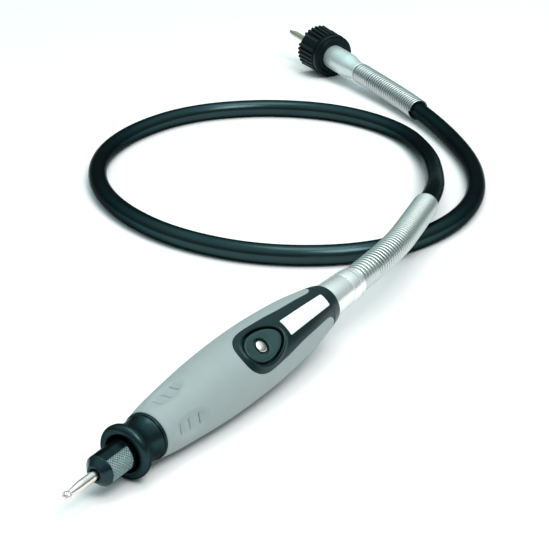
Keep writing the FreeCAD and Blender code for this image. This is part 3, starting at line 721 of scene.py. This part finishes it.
# pocket floor in to the pin's hole
angs = np.arctan2(inner[:, 1], inner[:, 0] - LOCK_S)
hole = np.stack([LOCK_S + 1.6 * np.cos(angs), 1.6 * np.sin(angs)], 1)
h1 = B.add(hand_panel(hole[:, 0], hole[:, 1], np.full(len(hole), 7.0)))
h0 = B.add(hand_panel(hole[:, 0], hole[:, 1], np.full(len(hole), 5.5)))
B.strip(h0, h1, wrap=True)
B.strip(h1, loops[0], wrap=True)
outer = loops[-1]
# rear of the panel: rows from the cut line back to the collar
back = pu >= sc_cut
bu, bv = pu[back], pv[back]
ok = (bu > sc_cut + 0.15) & (bu < 108.3)
bu, bv = bu[ok], bv[ok]
sel = np.concatenate([np.arange(0, len(bu), 1)])
line_ids = np.concatenate([[outer[n_out - 1]], outer[n_out:], [outer[0]]])      # from +v to -v
prev = line_ids
left, right = [], []
for u, v in zip(bu[sel], bv[sel]):
    a0 = math.asin(min(1.0, v / float(RB(u))))
    a = np.linspace(a0, -a0, K + 1)
    cur = B.add(hand_polar(np.full(K + 1, u), np.full(K + 1, float(RB(u))), a))
    B.strip(prev, cur)
    right.append((u, v, cur[0]))
    left.append((u, -v, cur[-1]))
    prev = cur
# collar, all the way round
K2 = 60
a_top = np.linspace(PI / 2, -PI / 2, K + 1)
a_bot = np.linspace(-PI / 2, -3 * PI / 2, K2 + 1)[1:-1]
cr = soften([(109.0, 8.50), (109.4, 8.42), (111.0, 8.11), (113.0, 7.72, 0.6), (113.95, 7.42, 0.4), (114.35, 7.05, 0.15), (114.4, 6.85, 0.05), (114.4, 6.75)], 4)
a_all = np.concatenate([a_top, a_bot])
first = None
ring_prev = None
lipp = []
for s, r in [(109.06, 7.2), (109.06, 8.25), (109.10, 8.38)]:
    lipp.append(B.add(hand_polar(np.full(K2 + 1, s), np.full(K2 + 1, r), np.concatenate([[-PI / 2], a_bot, [-3 * PI / 2]]))))
for s, r in cr:
    ring = B.add(hand_polar(np.full(len(a_all), s), np.full(len(a_all), r), a_all))
    if first is None:
        first = ring
        B.strip(prev, ring[:K + 1])
        B.strip(lipp[0], lipp[1])
        B.strip(lipp[1], lipp[2])
        B.strip(lipp[2], np.concatenate([[ring[K]], ring[K + 1:], [ring[0]]]))
    else:
        B.strip(ring_prev, ring, wrap=True)
    ring_prev = ring
# rolled edge and wall of the panel's own outline
n_half = len(fu_)
o_pts = [(sc_cut, -vf)] + [(u, -v) for u, v in zip(fu_[::-1], fv_[::-1])] + [(u, v) for u, v in zip(fu_[1:], fv_[1:])] + [(sc_cut, vf)]
o_ids = list(outer[:n_out])
o_pts = [(u, v) for u, v, _ in reversed(left)] + o_pts + [(u, v) for u, v, _ in right]
o_ids = [i for _, _, i in reversed(left)] + o_ids + [i for _, _, i in right]
o_pts = np.array(o_pts)
tan = np.gradient(o_pts, axis=0)
tan /= np.maximum(1e-9, np.linalg.norm(tan, axis=1))[:, None]
nrm = np.stack([-tan[:, 1], tan[:, 0]], 1)
if (nrm[len(nrm) // 2] @ np.array([-1.0, 0])) < 0:
    nrm = -nrm
prev = np.array(o_ids)
for x, y in [(F * math.sin(t), F * (1 - math.cos(t))) for t in np.linspace(0, PI / 2, 6)[1:]] + [(F, 0.8), (F, 1.25)]:
    uv = o_pts + nrm * x
    rr = RB(np.minimum(uv[:, 0], 109.0))
    w = np.sqrt(np.maximum(0.01, rr ** 2 - uv[:, 1] ** 2))
    scl = (rr - y) / rr
    v = B.add(hand_panel(uv[:, 0], uv[:, 1] * scl, w * scl))
    B.strip(prev, v)
    prev = v
make("panel_and_collar", B.v, B.f, "panel_black", "handpiece", ("inner_housing",), sharp=40, flip=False)

# ---------------------------------------------------------------- lock button and pin
B = Build()
NB = 144
th = np.arange(NB) * 2 * PI / NB
eu, ev = egg_at(BTN_A, BTN_B, (th + PI) % (2 * PI) - PI)
edge = np.stack([eu + BTN_S, ev], 1)
hc = np.stack([LOCK_S + 3.1 * np.cos(th), 3.1 * np.sin(th)], 1)


def btn_w(u, v):
    body = top_w(u, v, 0.22)
    d2 = (u - LOCK_S) ** 2 + v ** 2
    dish = 44.0 + 10.75 - np.sqrt(44.0 ** 2 - d2)
    k = 0.22
    return -k * np.log(np.exp(-body / k) + np.exp(-dish / k))


loops = []
fb, fh = 0.50, 0.30
w_edge = btn_w(edge[:, 0], edge[:, 1])
ctr = np.array([BTN_S, 0.0])
inward = hc - edge
inl = np.linalg.norm(inward, axis=1)
inward /= inl[:, None]
loops.append(B.add(hand_panel(edge[:, 0], edge[:, 1], np.full(NB, 8.9))))
loops.append(B.add(hand_panel(edge[:, 0], edge[:, 1], w_edge - fb)))
for t in np.linspace(0, PI / 2, 7)[1:]:
    x, y = fb * (1 - math.cos(t)), fb * (1 - math.sin(t))
    q = edge + inward * x
    loops.append(B.add(hand_panel(q[:, 0], q[:, 1], btn_w(q[:, 0], q[:, 1]) - y)))
for k in np.linspace(0, 1, 15)[1:]:
    d = fb + (inl - fb - fh) * k
    q = edge + inward * d[:, None]
    loops.append(B.add(hand_panel(q[:, 0], q[:, 1], btn_w(q[:, 0], q[:, 1]))))
for t in np.linspace(0, PI / 2, 6)[1:]:
    x, y = fh * math.sin(t), fh * (1 - math.cos(t))
    q = edge + inward * (inl - fh + x)[:, None]
    loops.append(B.add(hand_panel(q[:, 0], q[:, 1], btn_w(q[:, 0], q[:, 1]) - y)))
loops.append(B.add(hand_panel(hc[:, 0], hc[:, 1], np.full(NB, 9.4))))
hp_in = np.stack([LOCK_S + 1.52 * np.cos(th), 1.52 * np.sin(th)], 1)
loops.append(B.add(hand_panel(hp_in[:, 0], hp_in[:, 1], np.full(NB, 9.4))))
loops.append(B.add(hand_panel(hp_in[:, 0], hp_in[:, 1], np.full(NB, 8.9))))
for i in range(len(loops) - 1):
    B.strip(loops[i], loops[i + 1], wrap=True)
B.strip(loops[-1], loops[0], wrap=True)
make("dished_lock_button", B.v, B.f, "button_black", "lock_button", ("lock_button",), sharp=40)


def pin_at(w, r, a):
    return hand_panel(LOCK_S + r * np.cos(a), r * np.sin(a), w)


pin_prof = soften([(4.75, 0.0), (4.75, 1.3, 0.1), (4.95, 1.5, 0.1), (9.42, 1.5, 0.05), (9.42, 2.15, 0.08), (10.72, 2.15, 0.28), (11.08, 1.40, 0.5), (11.27, 0.5, 0.3), (11.30, 0.0)], 4)
lathe("steel_lock_pin", pin_prof, "bright_steel", "lock_button", pin_at, n=48, replaces=("lock_pin",), sharp=50)

# ---------------------------------------------------------------- label plate, left bare
B = Build()
us = np.concatenate([[79.0, 79.03, 79.1, 79.25, 79.45], np.linspace(79.8, 106.5, 30), [106.8, 107.0, 107.12, 107.18, 107.2]])
KL = 18
prev = None
edge_rows = []
for lev, (off, lift) in enumerate([(0.0, -0.25), (0.0, 0.06), (0.03, 0.10), (0.09, 0.12)]):
    edge_rows.append((off, lift))
grid = []
for u in us:
    h = 3.05 + (2.45 - 3.05) * (u - 79.0) / 28.2
    c = 0.45
    for d in (u - 79.0, 107.2 - u):
        if d < c:
            h -= c - math.sqrt(max(0.0, c * c - (c - d) ** 2))
    row = []
    vs = np.concatenate([[-h, -h, -h + 0.03], np.linspace(-h + 0.10, h - 0.10, KL), [h - 0.03, h, h]])
    lift = np.concatenate([[-0.25, 0.05, 0.10], np.full(KL, 0.12), [0.10, 0.05, -0.25]])
    e = 0.0
    d = min(u - 79.0, 107.2 - u)
    if d < 0.02:
        e = -0.07
    elif d < 0.05:
        e = -0.02
    r = float(RB(u))
    w = np.sqrt(r * r - vs ** 2) + np.where(lift > 0, lift + e, lift)
    grid.append(B.add(hand_panel(np.full(len(vs), u), vs, w)))
for i in range(len(grid) - 1):
    B.strip(grid[i], grid[i + 1])
for end, g in ((79.0, grid[0]), (107.2, grid[-1])):
    pts = np.array(B.v)[g]
    low = pts - np.array(hand_panel(0, 0, 0.3) - hand_panel(0, 0, 0))
    l = B.add(low)
    if end == 79.0:
        B.strip(l, g)
    else:
        B.strip(g, l)
make("bare_label_plate", B.v, B.f, "white_plate", "handpiece", ("label_plate",), sharp=50, flip=True)

# ---------------------------------------------------------------- nose cap
nose = soften([(12.15, 6.75), (12.15, 7.86, 0.06), (12.0, 7.95, 0.1), (11.35, 7.95, 0.1), (11.18, 7.86, 0.05), (11.10, 7.46, 0.04),
               (10.88, 7.44, 0.04), (10.76, 7.60, 0.06)], 3)
nose += [(10.3, 7.50), (9.6, 7.38), (8.6, 7.31), (7.6, 7.31), (6.4, 7.40), (5.2, 7.58), (4.3, 7.82), (3.6, 8.05), (3.25, 8.16),
         (3.10, 8.28), (2.98, 8.56), (2.84, 8.76), (2.60, 8.90), (2.3, 8.99), (1.9, 9.06), (1.5, 9.10), (1.05, 9.06), (0.6, 8.90),
         (0.2, 8.60), (-0.1, 8.15), (-0.28, 7.6), (-0.35, 7.1), (-0.30, 6.65), (-0.12, 6.34), (0.2, 6.18), (0.7, 6.11), (1.4, 6.10)]
nose += soften([(1.5, 6.10), (8.0, 6.10, 0.2), (8.0, 4.55, 0.1), (17.5, 4.55, 0.2), (19.9, 5.9, 0.1), (19.9, 6.95, 0.1), (16.0, 6.95, 0.1), (12.15, 6.75)], 3)[1:-1]
lathe("flared_nose_cap", nose, "nose_black", "handpiece", n=144, replaces=("nose_cap",), closed=True, sharp=45, flip=True)

# ---------------------------------------------------------------- rear ferrule
rf = soften([(92.8, 4.62), (92.8, 5.2, 0.1), (94.0, 6.4, 0.2), (96.0, 6.9, 0.2), (103.9, 6.9, 0.05), (103.95, 6.66, 0.05), (114.4, 6.64), (126.28, 6.36, 0.02), (126.32, 6.14, 0.02),
             (126.58, 6.14, 0.02), (126.62, 6.34, 0.02), (131.6, 6.18, 0.2), (132.1, 5.97, 0.2), (134.7, 5.88, 0.2), (135.0, 5.6, 0.15),
             (135.0, 5.38, 0.05), (128.9, 5.38, 0.05), (128.9, 4.13, 0.05), (124.9, 4.13, 0.05), (124.9, 2.2, 0.05), (101.0, 2.2, 0.05),
             (101.0, 4.62, 0.05), (92.8, 4.62)], 3)[:-1]
lathe("bright_rear_ferrule", rf, "bright_nickel", "handpiece", n=120, replaces=("rear_ferrule",), closed=True, sharp=40)

# ---------------------------------------------------------------- collet nut: four long flats, knurled between them
FLAT0 = math.radians(-24.0)
FLAT_H = 4.93
NUT_R = 5.10
half = math.acos(FLAT_H / NUT_R)
angs = []
for q in range(4):
    c = FLAT0 + q * PI / 2
    angs += list(c + np.linspace(-half, half, 13)[:-1])
    angs += list(c + half + np.linspace(0, PI / 2 - 2 * half, 43)[:-1])
angs = np.array(angs)


def nut_disp(s, r, a):
    rr = np.full_like(a, r)
    rel = (a - FLAT0 + PI / 4) % (PI / 2) - PI / 4
    if s < -0.95:
        lim = FLAT_H / np.cos(rel)
        rr = np.minimum(rr, lim)
    if -10.75 <= s <= -1.3:
        kr = (a - FLAT0 - half) % PI
        on = (kr > 0.03) & (kr < PI / 2 + 0.0)
        arc = a * NUT_R
        p = 1.10
        k1 = np.abs(((s + arc) / p) % 1.0 - 0.5) * 2
        k2 = np.abs(((s - arc) / p) % 1.0 - 0.5) * 2
        kn = 0.26 * (np.maximum(0, 0.55 - k1) / 0.55 + np.maximum(0, 0.55 - k2) / 0.55)
        edge_f = min(1.0, (s + 10.75) / 0.3 + 0.2, (-1.3 - s) / 0.3 + 0.2)
        rr = np.where(on, rr - kn * edge_f, rr)
    return rr - r


np_prof = [(-13.4, 2.02), (-13.4, 2.74), (-13.36, 2.86), (-13.25, 2.99)]
np_prof += [(-13.25 + k * (2.15 / 8), 2.99 + k * (2.03 / 8)) for k in range(1, 9)] + [(-11.0, 5.08), (-10.9, NUT_R)]
np_prof += [(s, NUT_R) for s in np.arange(-10.8, -1.25, 0.13)] + [(-1.2, NUT_R), (-1.0, NUT_R)]
np_prof += soften([(-0.9, NUT_R), (5.9, NUT_R, 0.1), (6.3, 4.7, 0.1), (6.3, 3.6, 0.05), (-4.9, 3.6, 0.05), (-4.9, 3.2, 0.05), (-6.4, 3.16, 0.05),
                   (-11.6, 2.22, 0.05), (-12.1, 2.02, 0.05), (-13.4, 2.02)], 2)[:-1]
collet_nut = lathe("knurled_collet_nut", np_prof, "black_steel", "collet_nut", n=0, replaces=("collet_nut",), closed=True, sharp=35,
      disp=lambda s, r, a: nut_disp(s, r, a) if (r >= 4.45 and s < 0 or (s < -10.2 and r > 2.9)) else np.zeros_like(a), angles=angs)
collet_nut.data.materials.append(M["worn_knurl"])
collet_nut.data.materials.append(M["nut_cone"])
for po in collet_nut.data.polygons:
    c = np.array(po.center) / MM - np.array([0.0, Y_SHIFT, Z0])
    st, up = c[1] * CT + c[2] * ST, -c[1] * ST + c[2] * CT
    # a knurled side takes in the flat after it; the two knurled sides are opposite each other
    rel = (math.atan2(c[0], up) - ROLL - FLAT0 - half) % PI
    if -10.75 < st < -1.3 and math.hypot(c[0], up) > 4.5 and 0.02 < rel < PI / 2:
        po.material_index = 1
    elif st < -11.0 and po.normal.y < -0.2:
        po.material_index = 2

# ---------------------------------------------------------------- cutter bit
BALL_R, BALL_S = 1.45, -26.10


def flutes(s, r, a):
    if s > BALL_S + 1.1:
        return np.zeros_like(a)
    tw = (s - BALL_S) * 0.55
    x = np.abs((((a + tw) * 8 / (2 * PI)) % 1.0) - 0.5) * 2
    f = np.clip((x - 0.35) / 0.65, 0, 1) ** 2
    return -0.22 * f * min(1.0, r / 0.9)


prof = [(BALL_S - BALL_R, 0.0)]
for t in np.linspace(0, 1, 22)[1:]:
    ph = t * (PI - 0.66)
    prof.append((BALL_S - BALL_R * math.cos(ph), BALL_R * math.sin(ph)))
prof += soften([(-24.95, 0.93), (-24.7, 0.97, 0.2), (-24.1, 1.08, 0.4), (-20.0, 1.5875, 0.8), (5.0, 1.5875, 0.2), (5.4, 1.2, 0.1), (5.4, 0.0)], 4)
lathe("ball_cutter_bit", prof, "bright_steel", "collet_set", n=96, replaces=("cutter_bit",), disp=flutes, sharp=45)

# ---------------------------------------------------------------- CAD pieces that stay
KEEP = {"spindle": "spindle_steel", "core_front_end": "spindle_steel", "collet": "spindle_steel", "front_snap_ring": "bearing_steel",
        "front_bearing_outer_race": "bearing_steel", "front_bearing_inner_race": "bearing_steel", "front_bearing_balls": "bright_steel",
        "front_bearing_cage": "bronze", "rear_bearing_outer_race": "bearing_steel", "rear_bearing_inner_race": "bearing_steel",
        "rear_bearing_balls": "bright_steel", "rear_bearing_cage": "bronze", "preload_washer": "bearing_steel",
        "lock_spring": "bearing_steel", "ferrule_bushing": "bronze", "nut_retaining_ring": "bearing_steel"}
for name, mat in KEEP.items():
    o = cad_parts[name]
    if not o.material_slots:
        continue
    for sl in o.material_slots:
        sl.material = M[mat]

# ---------------------------------------------------------------- floor, light, world
fm, nt, p = new_material("floor_white")
p.inputs["Base Color"].default_value = (0.925, 0.89, 0.89, 1)
p.inputs["Roughness"].default_value = 0.9
p.inputs["Specular IOR Level"].default_value = 0.1
me = bpy.data.meshes.new("floor")
me.from_pydata([(-6, -6, 0), (6, -6, 0), (6, 6, 0), (-6, 6, 0)], [], [(0, 1, 2, 3)])
me.materials.append(fm)
floor = bpy.data.objects.new("floor", me)
bpy.context.scene.collection.objects.link(floor)


def area(name, loc, target, size, power, colour=(1, 1, 1), size_y=None):
    li = bpy.data.lights.new(name, "AREA")
    li.shape = "RECTANGLE" if size_y else "SQUARE"
    li.size = size
    if size_y:
        li.size_y = size_y
    li.energy = power
    li.color = colour
    o = bpy.data.objects.new(name, li)
    d = np.array(target, float) - np.array(loc, float)
    from mathutils import Vector
    o.location = loc
    o.rotation_euler = Vector(d).to_track_quat("-Z", "Y").to_euler()
    bpy.context.scene.collection.objects.link(o)
    return o


TINT = (0.74, 1.0, 1.0)
area("key", (0.58, -0.10, 1.02), (-0.05, 0.12, 0.0), 0.55, 7.6, (0.97, 0.91, 0.905))
area("top", (-0.05, 0.25, 1.30), (-0.10, 0.20, 0.0), 0.70, 5.3, (0.97, 0.91, 0.905))
w = bpy.data.worlds.new("studio")
bpy.context.scene.world = w
w.use_nodes = True
wn = w.node_tree
bg = wn.nodes["Background"]
tc = node(wn, "ShaderNodeTexCoord")
sx = node(wn, "ShaderNodeSeparateXYZ")
wn.links.new(tc.outputs["Generated"], sx.inputs["Vector"])
cr = node(wn, "ShaderNodeValToRGB")
cr.color_ramp.elements[0].position, cr.color_ramp.elements[1].position = 0.0, 1.0
SKY = [(0.0, 0.10), (0.14, 0.11), (0.32, 0.15), (0.50, 0.28), (0.72, 0.55), (1.0, 0.65)]
for k, (z, v) in enumerate(SKY):
    el = cr.color_ramp.elements[0] if k == 0 else cr.color_ramp.elements[-1] if k == len(SKY) - 1 else cr.color_ramp.elements.new(z)
    el.position = z
    el.color = (TINT[0] * v, TINT[1] * v, TINT[2] * v, 1)
wn.links.new(sx.outputs["Z"], cr.inputs["Fac"])
wn.links.new(cr.outputs["Color"], bg.inputs["Color"])
bg.inputs["Strength"].default_value = 1.75
bpy.context.scene.view_settings.view_transform = "Standard"
